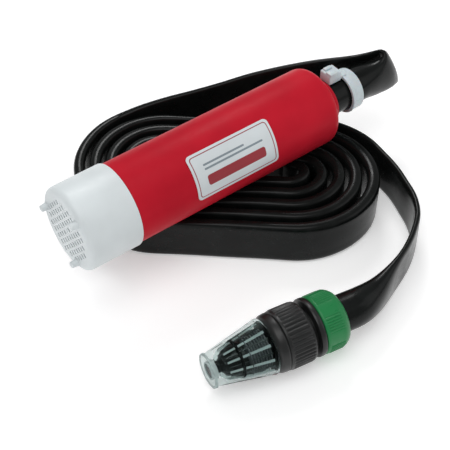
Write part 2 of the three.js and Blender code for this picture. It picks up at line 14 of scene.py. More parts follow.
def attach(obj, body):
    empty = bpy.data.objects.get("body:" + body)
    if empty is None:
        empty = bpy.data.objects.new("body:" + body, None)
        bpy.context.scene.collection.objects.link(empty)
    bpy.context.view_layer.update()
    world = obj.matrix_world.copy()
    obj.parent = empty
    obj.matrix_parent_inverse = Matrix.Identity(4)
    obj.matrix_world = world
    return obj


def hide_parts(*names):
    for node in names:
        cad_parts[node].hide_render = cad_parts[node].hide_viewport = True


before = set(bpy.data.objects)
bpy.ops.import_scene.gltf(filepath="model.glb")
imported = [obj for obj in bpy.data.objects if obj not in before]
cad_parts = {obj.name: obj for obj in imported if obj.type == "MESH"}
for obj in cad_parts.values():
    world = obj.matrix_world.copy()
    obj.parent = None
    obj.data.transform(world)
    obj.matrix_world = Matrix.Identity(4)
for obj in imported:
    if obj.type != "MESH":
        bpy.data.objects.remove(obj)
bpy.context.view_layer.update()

# ---------------------------------------------------------------- driving dimensions

MM = 0.001
ORIGIN_X = 13.0
SHELL_RADIUS = 24.0
OUTLET_Z = -1.2
HOSE_WIDTH = 28.0
HOSE_THICKNESS = 4.4
COILED_THICKNESS = 8.0
FLOOR_Z = -52.3
COIL_Z = FLOOR_Z + HOSE_WIDTH / 2
TAIL_Z = COIL_Z + 0.2
FITTING_TIP = Vector((-68.0, -99.0, FLOOR_Z + 17.3))
FITTING_TURN = math.radians(-9)

COIL_CENTRE = (28.4, 11.1)
COIL_TURN = math.radians(-41)
COIL_STRAIGHT = 40.0
COIL_DEPTH = 49.0
LAYER_PITCH = 9.4
LEFT_SPREAD = 0.0
RIGHT_SPREAD = 1.0
LANDING_DEG = 128.0
FRONT_START, RIGHT_START, BACK_START, LAST_START = 0.3, 0.45, 0.75, 0.93
STEP_START, STEP_END = 0.55, 0.83
LEAVING = 0.635
INNER_TURNS = 2.65
INNER_BULGE = 1.6  # how far the tight turn at the heart reaches, in half gaps
STEPS_PER_TURN = 90
ROUTE_STEP = 3.0

# Route of the hose from the outlet round the fold and down to the coil.
LEAD_POINTS = [
    (94.4, 0, -1.2), (104, 0, -1.2), (114, 0, -1.2), (119, 0, -1.2), (123, -0.3, -1.3),
    (129, -1.6, -1.9), (135, -3, -2.6), (140.5, -3.9, -3.1), (144.6, -3, -3.4), (146.6, 0, -3.5),
    (145, 3.4, -3.5), (140, 6.6, -3.6), (131, 11.5, -4.2), (120, 18.5, -6), (106, 28, -9),
    (92, 37.5, -12.5), (76, 47.5, -17), (60, 56.5, -22), (44, 66, -27), (28, 75.5, -31.5),
    (14, 82.4, -35.3),
]

# Route of the hose from the coil to the connector.
TAIL_POINTS = [
    (107.5, -51.5, TAIL_Z), (103.5, -64.5, TAIL_Z), (99, -76.5, TAIL_Z), (91.5, -87.5, TAIL_Z),
    (80.5, -96, TAIL_Z), (67.5, -103, TAIL_Z), (52, -108.5, TAIL_Z), (37, -112, TAIL_Z + 0.6),
]


def place(x, y, z):
    return Vector(((x - ORIGIN_X) * MM, y * MM, z * MM))


# ---------------------------------------------------------------- camera

def make_camera():
    data = bpy.data.cameras.new("camera")
    data.sensor_width = 36
    data.lens = 90.9
    data.clip_start, data.clip_end = 0.02, 20
    camera = bpy.data.objects.new("camera", data)
    camera.location = (-0.2848, -0.3842, 0.4439)
    camera.rotation_euler = (math.radians(43.54), 0, math.radians(-37.06))
    bpy.context.scene.collection.objects.link(camera)
    bpy.context.scene.camera = camera


make_camera()


# ---------------------------------------------------------------- materials

class Nodes:
    """A material's node tree, with short calls for the nodes that the finishes below share."""

    def __init__(self, name):
        self.material = bpy.data.materials.new(name)
        self.material.use_nodes = True
        self.tree = self.material.node_tree
        self.shader = self.tree.nodes["Principled BSDF"]
        self.coords = self.tree.nodes.new("ShaderNodeTexCoord")

    def set(self, **values):
        for key, value in values.items():
            self.shader.inputs[key.replace("_", " ")].default_value = value
        return self

    def link(self, source, socket):
        self.tree.links.new(source, self.shader.inputs[socket])

    def scaled(self, scale):
        node = self.tree.nodes.new("ShaderNodeMapping")
        node.inputs["Scale"].default_value = scale
        self.tree.links.new(self.coords.outputs["Object"], node.inputs["Vector"])
        return node.outputs["Vector"]

    def noise(self, scale, detail=4.0, roughness=0.55, stretch=None):
        node = self.tree.nodes.new("ShaderNodeTexNoise")
        node.inputs["Scale"].default_value = scale
        node.inputs["Detail"].default_value = detail
        node.inputs["Roughness"].default_value = roughness
        vector = self.scaled(stretch) if stretch else self.coords.outputs["Object"]
        self.tree.links.new(vector, node.inputs["Vector"])
        return node.outputs["Fac"]

    def waves(self, scale, axis, distortion=0.0):
        node = self.tree.nodes.new("ShaderNodeTexWave")
        node.bands_direction = axis
        node.inputs["Scale"].default_value = scale
        node.inputs["Distortion"].default_value = distortion
        self.tree.links.new(self.coords.outputs["Object"], node.inputs["Vector"])
        return node.outputs["Fac"]

    def spread(self, value, low, high, to_low=0.0, to_high=1.0):
        node = self.tree.nodes.new("ShaderNodeMapRange")
        inputs = (low, high, to_low, to_high)
        for name, number in zip(("From Min", "From Max", "To Min", "To Max"), inputs):
            node.inputs[name].default_value = number
        self.tree.links.new(value, node.inputs["Value"])
        return node.outputs["Result"]

    def blend(self, value, first, second):
        node = self.tree.nodes.new("ShaderNodeMix")
        node.data_type = "RGBA"
        node.inputs["A"].default_value = (*first, 1)
        node.inputs["B"].default_value = (*second, 1)
        self.tree.links.new(value, node.inputs["Factor"])
        return node.outputs["Result"]

    def bump(self, value, strength, distance, below=None):
        node = self.tree.nodes.new("ShaderNodeBump")
        node.inputs["Strength"].default_value = strength
        node.inputs["Distance"].default_value = distance
        self.tree.links.new(value, node.inputs["Height"])
        if below:
            self.tree.links.new(below, node.inputs["Normal"])
        return node.outputs["Normal"]


def shade(color, share):
    return tuple(min(1.0, c * share) for c in color)


def moulded(name, color, roughness, grain=0.12, worn=1.12, **values):
    """Moulded plastic: slow tone changes, faint flow marks, fine grain and small scuffs."""
    nodes = Nodes(name).set(**values)
    tone = nodes.spread(nodes.noise(28, 3), 0.35, 0.7)
    nodes.link(nodes.blend(tone, shade(color, 0.93), shade(color, worn)), "Base Color")
    scuffs = nodes.noise(420, 6, 0.7, (0.35, 1, 1))
    nodes.link(nodes.spread(scuffs, 0.35, 0.75, roughness * 0.82, roughness * 1.25), "Roughness")
    fine = nodes.bump(nodes.noise(2600, 3), grain, 0.00006)
    nodes.link(nodes.bump(nodes.noise(120, 2), 0.05, 0.0001, fine), "Normal")
    return nodes.material


def rubber(name, color, roughness, grain=0.3):
    """Rubber: a dark skin with dust in it and a fine grain."""
    nodes = Nodes(name).set(Specular_IOR_Level=0.15)
    dust = nodes.spread(nodes.noise(70, 5, 0.65), 0.4, 0.75)
    nodes.link(nodes.blend(dust, color, shade(color, 2.1)), "Base Color")
    skin = nodes.spread(nodes.noise(260, 5), 0.3, 0.7, roughness * 0.8, roughness * 1.25)
    nodes.link(skin, "Roughness")
    fine = nodes.bump(nodes.noise(1500, 4), grain, 0.00004)
    nodes.link(nodes.bump(nodes.noise(70, 2), 0.15, 0.0004, fine), "Normal")
    return nodes.material


def metal(name, color, roughness, stretch, metallic=1.0):
    """Machined or drawn metal: fine lines along one direction and slightly tarnished patches."""
    nodes = Nodes(name).set(Metallic=metallic)
    patches = nodes.spread(nodes.noise(60, 4), 0.35, 0.7)
    nodes.link(nodes.blend(patches, shade(color, 0.8), shade(color, 1.1)), "Base Color")
    lines = nodes.noise(900, 3, 0.6, stretch)
    nodes.link(nodes.spread(lines, 0.3, 0.7, roughness * 0.75, roughness * 1.4), "Roughness")
    nodes.link(nodes.bump(lines, 0.25, 0.00008), "Normal")
    return nodes.material


def windings(name, color):
    """Enamelled copper wire, wound in fine turns, with painted shade in the grooves between turns."""
    nodes = Nodes(name).set(Metallic=1.0, Coat_Weight=0.6, Coat_Roughness=0.12)
    turns = nodes.waves(900, "X", 1.2)
    # The colour darkens where the bump sinks between turns: painted shade.
    nodes.link(nodes.blend(turns, shade(color, 0.45), color), "Base Color")
    nodes.link(nodes.spread(nodes.noise(300), 0.3, 0.7, 0.22, 0.4), "Roughness")
    nodes.link(nodes.bump(turns, 0.7, 0.0003), "Normal")
    return nodes.material


def clear_moulding(name):
    """Clear plastic: a slight haze and a cool tint."""
    nodes = Nodes(name).set(Transmission_Weight=1.0, IOR=1.07, Specular_IOR_Level=1.0)
    tint = nodes.spread(nodes.noise(50, 3), 0.35, 0.7)
    nodes.link(nodes.blend(tint, (0.6, 0.68, 0.67), (0.7, 0.77, 0.76)), "Base Color")
    nodes.link(nodes.spread(nodes.noise(300, 4), 0.35, 0.7, 0.02, 0.1), "Roughness")
    nodes.link(nodes.bump(nodes.noise(160, 2), 0.12, 0.0003), "Normal")
    return nodes.material


def nylon(name, color):
    """Natural nylon: milky, with flow marks."""
    nodes = Nodes(name).set(Subsurface_Weight=0.15, Subsurface_Scale=0.002, Specular_IOR_Level=0.35)
    tone = nodes.spread(nodes.noise(90, 4), 0.35, 0.7)
    nodes.link(nodes.blend(tone, shade(color, 0.88), color), "Base Color")
    nodes.link(nodes.spread(nodes.noise(350, 4), 0.3, 0.7, 0.22, 0.4), "Roughness")
    nodes.link(nodes.bump(nodes.noise(500, 4), 0.08, 0.0001), "Normal")
    return nodes.material


def floor_finish():
    nodes = Nodes("studio_floor").set(Emission_Color=(1, 1, 1, 1), Emission_Strength=0.34)
    tone = nodes.spread(nodes.noise(3, 2), 0.3, 0.7)
    nodes.link(nodes.blend(tone, (0.86, 0.86, 0.865), (0.9, 0.9, 0.9)), "Base Color")
    nodes.link(nodes.spread(nodes.noise(20, 3), 0.3, 0.7, 0.7, 0.85), "Roughness")
    return nodes.material


FINISHES = {
    "red_plastic": moulded("red_plastic", (0.5, 0.012, 0.026), 0.4, Specular_IOR_Level=0.05),
    "white_plastic": moulded("white_plastic", (0.7, 0.75, 0.765), 0.42, worn=1.05),
    "label": moulded("label", (0.68, 0.73, 0.75), 0.46, worn=1.05),
    "hose_rubber": rubber("hose_rubber", (0.0042, 0.005, 0.0048), 0.22, 0.05),
    "seal_rubber": rubber("seal_rubber", (0.012, 0.012, 0.013), 0.6),
    "clamp_nylon": nylon("clamp_nylon", (0.6, 0.68, 0.71)),
    "grey_plastic": moulded("grey_plastic", (0.12, 0.125, 0.13), 0.48),
    "black_plastic": moulded(
        "black_plastic", (0.008, 0.0085, 0.0085), 0.34, worn=1.6, Specular_IOR_Level=0.36,
    ),
    "green_plastic": moulded("green_plastic", (0.012, 0.19, 0.055), 0.33, Specular_IOR_Level=0.3),
    "clear_plastic": clear_moulding("clear_plastic"),
    # Light plastic: the frosted rim and collar of the cone's tip, and a painted highlight on the cone's
    # light ribs.
    "frosted_and_painted_highlight": moulded("frosted_and_painted_highlight", (0.6, 0.66, 0.66), 0.3),
    # Dark plastic on the cone's dark ribs: painted shade lines.
    "painted_rib_shade": moulded("painted_rib_shade", (0.06, 0.07, 0.07), 0.3),
    "steel": metal("steel", (0.55, 0.56, 0.57), 0.32, (0.04, 1, 1)),
    "copper": windings("copper", (0.62, 0.27, 0.13)),
    "bronze": metal("bronze", (0.5, 0.35, 0.13), 0.4, (1, 1, 1)),
    "magnet": metal("magnet", (0.05, 0.05, 0.055), 0.62, (1, 1, 1), 0.3),
    "carbon": rubber("carbon", (0.02, 0.02, 0.022), 0.7, 0.5),
}
PRINT = moulded("label_print", (0.3, 0.02, 0.03), 0.45)
PRINT_GREY = moulded("label_print_grey", (0.22, 0.27, 0.3), 0.45)

# The finish of every CAD node that is shown as it is.
CARRIED = {
    "cap_seal": "seal_rubber", "cable_grommet": "black_plastic", "inlet_plate": "grey_plastic",
    "volute_ring": "grey_plastic", "impeller": "white_plastic", "guide_vanes": "grey_plastic",
    "rear_spider": "grey_plastic", "shaft": "steel", "shaft_seal": "seal_rubber",
    "motor_capsule": "grey_plastic", "capsule_plug": "black_plastic",
    "capsule_o_ring": "seal_rubber", "motor_can": "steel", "front_bearing": "bronze",
    "rear_bearing": "bronze", "end_bell": "black_plastic", "magnet_top": "magnet",
    "magnet_bottom": "magnet", "armature": "steel", "front_winding": "copper",
    "rear_winding": "copper", "commutator": "copper", "brush_left": "carbon",
    "brush_right": "carbon", "lock_claws": "white_plastic", "sleeve_spring": "steel",
    "connector_seal": "seal_rubber", "grip_ring": "white_plastic",
}
for node, finish in CARRIED.items():
    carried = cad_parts[node]
    carried.data.materials.clear()
    carried.data.materials.append(FINISHES[finish])


# ---------------------------------------------------------------- mesh helpers

def finished(name, mesh, material, body, nodes, sharp_deg=32):
    """Turns a mesh into a smooth-shaded piece that rides a body and stands for CAD nodes."""
    shape = bmesh.new()
    shape.from_mesh(mesh)
    bmesh.ops.remove_doubles(shape, verts=shape.verts, dist=1e-7)
    bmesh.ops.recalc_face_normals(shape, faces=shape.faces)
    shape.to_mesh(mesh)
    shape.free()
    mesh.polygons.foreach_set("use_smooth", [True] * len(mesh.polygons))
    mesh.set_sharp_from_angle(angle=math.radians(sharp_deg))
    mesh.materials.append(material)
    piece = bpy.data.objects.new(name, mesh)
    bpy.context.scene.collection.objects.link(piece)
    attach(piece, body)
    if nodes:
        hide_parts(*nodes)
    return piece


def mesh_of(name, points, faces):
    mesh = bpy.data.meshes.new(name)
    mesh.from_pydata([tuple(p) for p in points], [], faces)
    mesh.update()
    return mesh


def lathe(profile, segments=128, radius_of=None, closed=True):
    """Points and faces of a profile of (x, radius) turned about the X axis. radius_of may change
    a ring's radius with the angle, for ribs. closed joins the profile's end to its start."""
    points, rings, faces = [], [], []
    for x, radius in profile:
        if radius < 1e-6:
            rings.append([len(points)] * segments)
            points.append(Vector((x, 0, 0)))
            continue
        rings.append(list(range(len(points), len(points) + segments)))
        for i in range(segments):
            angle = 2 * math.pi * i / segments
            r = radius_of(x, radius, angle) if radius_of else radius
            points.append(Vector((x, r * math.cos(angle), r * math.sin(angle))))
    pairs = list(zip(rings, rings[1:]))
    if closed:
        pairs.append((rings[-1], rings[0]))
    for first, second in pairs:
        for i in range(segments):
            j = (i + 1) % segments
            corners = [first[i], first[j], second[j], second[i]]
            unique = list(dict.fromkeys(corners))
            if len(unique) > 2:
                faces.append(unique)
    return points, faces


def rounded(profile, radius, steps=4):
    """A closed profile with its corners rounded off, except those that lie on the axis."""
    result = []
    count = len(profile)
    for i, (x, r) in enumerate(profile):
        here = Vector((x, r))
        before, after = Vector(profile[i - 1]), Vector(profile[(i + 1) % count])
        a, b = before - here, after - here
        if r < 1e-6 or a.length < 1e-6 or b.length < 1e-6 or a.angle(b) > math.radians(165):
            result.append((x, r))
            continue
        cut = min(radius, a.length * 0.45, b.length * 0.45)
        start, end = here + a.normalized() * cut, here + b.normalized() * cut
        for k in range(steps + 1):
            t = k / steps
            point = start * (1 - t) ** 2 + here * 2 * t * (1 - t) + end * t ** 2
            result.append((point.x, point.y))
    return result


def merged(*parts):
    points, faces = [], []
    for part_points, part_faces in parts:
        offset = len(points)
        points.extend(part_points)
        faces.extend([[i + offset for i in face] for face in part_faces])
    return points, faces


def moved(part, matrix):
    points, faces = part
    return [matrix @ p for p in points], faces


def to_frame(part):
    points, faces = part
    return [place(*p) for p in points], faces


FITTING = Matrix.Translation(FITTING_TIP) @ Matrix.Rotation(FITTING_TURN, 4, "Z")


def on_fitting(part):
    return to_frame(moved(part, FITTING))


def arc(centre_x, centre_radius, radius, start_deg, end_deg, steps):
    result = []
    for i in range(steps + 1):
        angle = math.radians(start_deg + (end_deg - start_deg) * i / steps)
        result.append((centre_x + radius * math.cos(angle), centre_radius + radius * math.sin(angle)))
    return result


def block(size, centre, bevel, turn=0.0):
    """A bevelled block, turned about the X axis."""
    shape = bmesh.new()
    bmesh.ops.create_cube(shape, size=1)
    bmesh.ops.scale(shape, vec=size, verts=shape.verts)
    bmesh.ops.bevel(shape, geom=shape.edges[:], offset=bevel, segments=3, profile=0.5, affect="EDGES")
    bmesh.ops.translate(shape, vec=centre, verts=shape.verts)
    shape.verts.index_update()
    matrix = Matrix.Rotation(turn, 4, "X")
    points = [matrix @ v.co for v in shape.verts]
    faces = [[v.index for v in f.verts] for f in shape.faces]
    shape.free()
    return points, faces


def carved(target, cutter):
    """A mesh less another, as a new mesh."""
    objects = []
    for label, part in (("target", target), ("cutter", cutter)):
        mesh = mesh_of(label, *part)
        shape = bmesh.new()
        shape.from_mesh(mesh)
        bmesh.ops.recalc_face_normals(shape, faces=shape.faces)
        shape.to_mesh(mesh)
        shape.free()
        piece = bpy.data.objects.new(label, mesh)
        bpy.context.scene.collection.objects.link(piece)
        objects.append(piece)
    first, second = objects
    modifier = first.modifiers.new("carve", "BOOLEAN")
    modifier.operation, modifier.solver, modifier.object = "DIFFERENCE", "EXACT", second
    modifier.use_self = True
    evaluated = first.evaluated_get(bpy.context.evaluated_depsgraph_get())
    result = bpy.data.meshes.new_from_object(evaluated)
    for piece in objects:
        bpy.data.objects.remove(piece)
    return result


# ---------------------------------------------------------------- the hose's route

def smoothstep(value, low, high):
    share = min(max((value - low) / (high - low), 0), 1)
    return share * share * (3 - 2 * share)


def coil_point(along, across):
    cos, sin = math.cos(COIL_TURN), math.sin(COIL_TURN)
    x = COIL_CENTRE[0] + along * cos - across * sin
    y = COIL_CENTRE[1] + along * sin + across * cos
    return Vector((x, y, COIL_Z + 0.2))


def coil_along(point):
    """How far along the coil a point lies, from its middle."""
    x, y = point.x - COIL_CENTRE[0], point.y - COIL_CENTRE[1]
    return x * math.cos(COIL_TURN) + y * math.sin(COIL_TURN)


def between(value, low, high, to_low, to_high):
    return to_low + (to_high - to_low) * (value - low) / (high - low)


def loop_point(share, layers):
    """The loop at a share of a turn, a number of layers inside the outermost centre line."""
    radius = COIL_DEPTH - LAYER_PITCH * layers
    left = -COIL_STRAIGHT - LEFT_SPREAD * layers
    right = COIL_STRAIGHT - RIGHT_SPREAD * layers
    if FRONT_START <= share < RIGHT_START:
        return coil_point(between(share, FRONT_START, RIGHT_START, left, right), -radius)
    if BACK_START <= share < LAST_START:
        return coil_point(between(share, BACK_START, LAST_START, right, left), radius)
    if share < FRONT_START:
        centre, turn = left, between(share, 0, FRONT_START, LANDING_DEG, 270)
    elif share < BACK_START:
        centre, turn = right, between(share, RIGHT_START, BACK_START, -90, 90)
    else:
        centre, turn = left, between(share, LAST_START, 1, 90, LANDING_DEG)
    angle = math.radians(turn)
    return coil_point(centre + radius * math.cos(angle), radius * math.sin(angle))


def strand(first_layer, start, end):
    """A strand of the coil from one number of turns to another; it steps in two layers a turn."""
    count = round((end - start) * STEPS_PER_TURN)
    points = []
    for i in range(count + 1):
        turns = start + (end - start) * i / count
        whole = math.floor(turns + 1e-9)
        share = turns - whole
        layer = first_layer + 2 * whole + 2 * smoothstep(share, STEP_START, STEP_END)
        points.append(loop_point(share, layer))
    return points


def curve_through(points, steps=16):
    """A centripetal curve through points."""
    result = []
    for i in range(len(points) - 1):
        p1, p2 = points[i], points[i + 1]
        p0 = points[i - 1] if i else p1 * 2 - p2
        p3 = points[i + 2] if i + 2 < len(points) else p2 * 2 - p1
        d0, d1, d2 = [math.sqrt(max((b - a).length, 1e-6)) for a, b in ((p0, p1), (p1, p2), (p2, p3))]
        t1 = ((p1 - p0) / d0 - (p2 - p0) / (d0 + d1) + (p2 - p1) / d1) * d1
        t2 = ((p2 - p1) / d1 - (p3 - p1) / (d1 + d2) + (p3 - p2) / d2) * d1
        for k in range(steps):
            s = k / steps
            cubic = (p1 * 2 - p2 * 2 + t1 + t2) * s ** 3
            result.append(p1 + t1 * s + (p2 * 3 - p1 * 3 - t1 * 2 - t2) * s ** 2 + cubic)
    result.append(points[-1])
    return result


def inner_fold(first, second, heading):
    """The tight turn at the coil's heart, from the end of one strand to the end of the other."""
    middle, half = (first + second) / 2, (first - second) / 2
    steps = 12
    bulge = heading * half.length * INNER_BULGE
    return [
        middle + half * math.cos(math.pi * k / steps) + bulge * math.sin(math.pi * k / steps)
        for k in range(1, steps)
    ]


def evenly(points, step):
    """The same line with its points a step apart."""
    lengths = [0.0]
    for a, b in zip(points, points[1:]):
        lengths.append(lengths[-1] + (b - a).length)
    count = round(lengths[-1] / step)
    result, k = [], 0
    for i in range(count + 1):
        at = lengths[-1] * i / count
        while k < len(points) - 2 and lengths[k + 1] < at:
            k += 1
        share = (at - lengths[k]) / max(lengths[k + 1] - lengths[k], 1e-9)
        result.append(points[k].lerp(points[k + 1], min(share, 1)))
    return result, lengths[-1]


def hose_route():
    inward = strand(0, 0, INNER_TURNS)
    outward = strand(-1, LEAVING, INNER_TURNS)
    heading = (inward[-1] - inward[-3]).normalized()
    lead = curve_through([Vector(p) for p in LEAD_POINTS] + [inward[0]])
    ends = [FITTING @ Vector((x, 0, 0)) for x in (92, 85, 78, 73)]
    tail = curve_through([outward[0]] + [Vector(p) for p in TAIL_POINTS] + ends)
    fold = inner_fold(inward[-1], outward[-1], heading)
    line = lead[:-1] + inward + fold + outward[::-1] + tail[1:]
    return evenly(line, ROUTE_STEP)


# ---------------------------------------------------------------- the hose

SECTION_SIDES = 28
ROUND_RADIUS = 10.7  # where the hose is stretched over a barb


def flat_section(width, thickness):
    """A flattened tube: two faces that pinch slightly behind rolled edges."""
    points = []
    for i in range(SECTION_SIDES):
        angle = 2 * math.pi * i / SECTION_SIDES
        c, s = math.cos(angle), math.sin(angle)
        across = math.copysign(abs(c) ** 0.62, c)
        edge = 0.84 + 0.16 * smoothstep(abs(across), 0.55, 0.9)
        through = math.copysign(abs(s) ** 0.5, s) * edge
        points.append((across * width / 2, through * thickness / 2))
    return points


def round_section(radius):
    step = 2 * math.pi / SECTION_SIDES
    return [(radius * math.cos(step * i), radius * math.sin(step * i)) for i in range(SECTION_SIDES)]


FOLD_Y = -0.8  # where the fold's two walls meet
FOLD_LEAN, FOLD_PINCH, FOLD_RISE = 8.2, 0.62, 5.0
FOLD_LIMIT_X, FOLD_LIMIT_Y = 146.4, 0.5  # the route reaches the fold at either of these

# Distances along the hose, from the outlet or back from the connector.
OUTLET_FLATTENS, NUT_FLATTENS = (22, 60), (11, 62)
OUTLET_THICKENS, NUT_THICKENS = (150, 300), (240, 330)

# Extra thickness at each end of the coil, and the stretch of the coil over which it comes.
RIGHT_OPENS, RIGHT_STRETCH = 1.4, (15, 80)
LEFT_OPENS, LEFT_STRETCH = 0.5, (20, 80)


def fold_distance(line):
    """How far along the hose the fold behind the outlet is."""
    distance = 0
    for a, b in zip(line, line[1:]):
        if a.x >= FOLD_LIMIT_X or a.y >= FOLD_LIMIT_Y:
            break
        distance += (b - a).length
    return distance


def near(at, place_at, reach):
    """One at a place along the hose, fading to nothing within a few reaches of it."""
    return math.exp(-((at - place_at) / reach) ** 2)


def fold_shift(share):
    """How far the fold behind the outlet leans along X, and how far its two walls close in Y, at a
    share of its height: -1 at its lower corner, 1 at its upper corner."""
    return -share ** 2 - FOLD_LEAN * share, FOLD_PINCH * smoothstep(share, -0.2, 1)


def ripple(at):
    """Slight waves of the hose's wall along its length."""
    return 0.25 * math.sin(at / 19) + 0.2 * math.sin(at / 7.3 + 1)


def hose():
    line, length = hose_route()
    count = len(line)
    spacing = length / (count - 1)
    flat, full = flat_section(HOSE_WIDTH, 1.0), round_section(ROUND_RADIUS)
    fold_at = fold_distance(line)
    points, faces = [], []
    for i, centre in enumerate(line):
        at = i * spacing
        heading = (line[min(i + 1, count - 1)] - line[max(i - 1, 0)]).normalized()
        side = heading.cross(Vector((0, 0, 1))).normalized()
        up = side.cross(heading).normalized()
        flatness = smoothstep(at, *OUTLET_FLATTENS) * smoothstep(length - at, *NUT_FLATTENS)
        rolled = smoothstep(at, *OUTLET_THICKENS) * smoothstep(length - at, *NUT_THICKENS)
        along = coil_along(centre)
        opened = RIGHT_OPENS * smoothstep(along, *RIGHT_STRETCH)
        opened += LEFT_OPENS * smoothstep(-along, *LEFT_STRETCH)
        thickness = HOSE_THICKNESS + (COILED_THICKNESS + opened - HOSE_THICKNESS) * rolled
        leaning, pinched = near(at, fold_at, 11), near(at, fold_at, 24)
        raised = FOLD_RISE * near(at, fold_at, 20)
        for (a, b), (c, d) in zip(flat, full):
            height = c + (a - c) * flatness
            through = d + (b * thickness - d) * flatness
            shift = ripple(at) * flatness * (height / HOSE_WIDTH)
            point = centre + up * height + side * (through + shift)
            lean, pinch = fold_shift(2 * height / HOSE_WIDTH)
            point.x += lean * leaning * flatness
            point.y -= (point.y - FOLD_Y) * pinch * pinched * flatness
            point.z += raised * (1 + 0.35 * height / HOSE_WIDTH) * flatness
            points.append(point)
    for i in range(count - 1):
        for k in range(SECTION_SIDES):
            j = (k + 1) % SECTION_SIDES
            a, b = i * SECTION_SIDES, (i + 1) * SECTION_SIDES
            faces.append([a + k, a + j, b + j, b + k])
    faces.append(list(range(SECTION_SIDES))[::-1])
    faces.append(list(range((count - 1) * SECTION_SIDES, count * SECTION_SIDES)))
    mesh = mesh_of("hose", *to_frame((points, faces)))
    nodes = ["hose_cuff", "hose_lead", "hose_coil", "hose_tail", "hose_end"]
    piece = finished("hose", mesh, FINISHES["hose_rubber"], "pump", nodes, 50)
    return piece, [place(*p) for p in line], length * MM


hose_piece, hose_line, hose_length = hose()


# ---------------------------------------------------------------- strainer cap

CAP_RADIUS = 25.0
CAP_FACE_X = -88.0
CAP_END_X = -55.0
FACE_TURN = math.radians(41)
SLOT_ROWS = 9
ROW_PITCH = 4.0
SLOT_PITCH = 3.9
SLOT_FIELD = 19.0


def strainer_cap():
    edge = arc(CAP_FACE_X + 3.5, CAP_RADIUS - 3.5, 3.5, 180, 90, 14)
    profile = [(CAP_FACE_X, 0)] + edge + [
        (CAP_END_X - 0.5, CAP_RADIUS), (CAP_END_X - 0.12, CAP_RADIUS - 0.15),
        (CAP_END_X, CAP_RADIUS - 0.5), (CAP_END_X, 22.9), (CAP_END_X - 0.4, 22.7),
        (CAP_FACE_X + 6, 22.7), (CAP_FACE_X + 2.2, 18.8), (CAP_FACE_X + 2.2, 0),
    ]
    cup = lathe(profile, 160, closed=False)
    slots = []
    middle = (SLOT_ROWS - 1) / 2
    for row in range(SLOT_ROWS):
        offset = (row - middle) * ROW_PITCH
        reach = math.floor(math.sqrt(SLOT_FIELD ** 2 - offset ** 2) / SLOT_PITCH)
        for i in range(-reach, reach + 1):
            if row == middle and i == 0:
                continue
            slots.append(block((12, 2.7, 1.8), (CAP_FACE_X, offset, i * SLOT_PITCH), 0.35, FACE_TURN))
    mesh = carved(to_frame(cup), to_frame(merged(*slots)))
    feet = []
    for turn in (9, 129, 249):
        angle = math.radians(turn)
        profile = rounded([(-92, 0), (-92, 1.8), (-87.6, 2.4), (-87, 3.2), (-87, 0)], 0.5)
        offset = Matrix.Translation((0, 20 * math.cos(angle), 20 * math.sin(angle)))
        feet.append(moved(lathe(profile, 40, closed=False), offset))
    button = lathe([(-88.5, 0), (-88.5, 0.7), (-88.2, 1.1), (-87.6, 1.2), (-87.6, 0)], 24, closed=False)
    shape = bmesh.new()
    shape.from_mesh(mesh)
    extra = mesh_of("feet", *to_frame(merged(*feet, button)))
    shape.from_mesh(extra)
    shape.to_mesh(mesh)
    shape.free()
    bpy.data.meshes.remove(extra)
    finished("strainer", mesh, FINISHES["white_plastic"], "cap", ["strainer_cap"])


strainer_cap()


# ---------------------------------------------------------------- pump shell

def pump_shell():
    end, radius = 87.0, SHELL_RADIUS
    shoulder = arc(end - 6, radius - 6, 6, 90, 0, 16)
    body = [
        (-65.9, 20.9), (-65.9, 22.0), (-65.6, 22.25), (-54.7, 22.25), (-54.7, radius - 0.5),
        (-54.5, radius - 0.15), (-54.1, radius),
    ] + shoulder + [(end, 10), (83, 10), (83, 11), (74, 20.7), (-65.6, 20.7)]
    parts = [lathe(body, 192)]
    boss = [(80, 10), (80, 14.5)] + [
        (86.2, 15.6), (87.2, 14.9), (88, 14.6), (91.4, 14.5), (92.9, 14.0), (93.7, 13.2), (94, 12),
        (94, 8.7), (104, 8.7), (112, 8.4), (113, 7.8), (113, 7.2), (80, 7.2),
    ]
    parts.append(moved(lathe(boss, 96), Matrix.Translation((0, 0, OUTLET_Z))))
    mesh = mesh_of("shell", *to_frame(merged(*parts)))
    finished("shell", mesh, FINISHES["red_plastic"], "pump", ["pump_shell"])


pump_shell()


# ---------------------------------------------------------------- label

LABEL_BORE = SHELL_RADIUS + 0.25
LABEL_MIDDLE_X, LABEL_HALF_X = 10.0, 28.0
LABEL_MIDDLE_DEG, LABEL_HALF_DEG = 149.0, 32.0


def rounded_outline(half_x, half_arc, corner, steps=8):
    points = []
    for sx, sy, start in ((1, 1, 0), (-1, 1, 90), (-1, -1, 180), (1, -1, 270)):
        for k in range(steps + 1):
            angle = math.radians(start + 90 * k / steps)
            x = sx * (half_x - corner) + corner * math.cos(angle)
            points.append(Vector((x, sy * (half_arc - corner) + corner * math.sin(angle), 0)))
    outline = []
    for a, b in zip(points, points[1:] + points[:1]):
        parts = 24 if (b - a).length > 4 * corner else 1
        outline += [a.lerp(b, k / parts) for k in range(parts)]
    return outline


def wrap(x, along, radius):
    """A point of the label: along the pump, and along the arc from the label's middle."""
    angle = math.radians(LABEL_MIDDLE_DEG) + along / LABEL_BORE
    return Vector((LABEL_MIDDLE_X + x, radius * math.cos(angle), radius * math.sin(angle)))


def wrapped_strip(outer, inner, low, high):
    """A closed band between two outlines with the same number of points."""
    points, faces = [], []
    count = len(outer)
    for a, b in zip(outer, inner):
        points += [wrap(a.x, a.y, low), wrap(a.x, a.y, high), wrap(b.x, b.y, high), wrap(b.x, b.y, low)]
    for i in range(count):
        a, b = i * 4, ((i + 1) % count) * 4
        for k in range(4):
            n = (k + 1) % 4
            faces.append([a + k, a + n, b + n, b + k])
    return points, faces


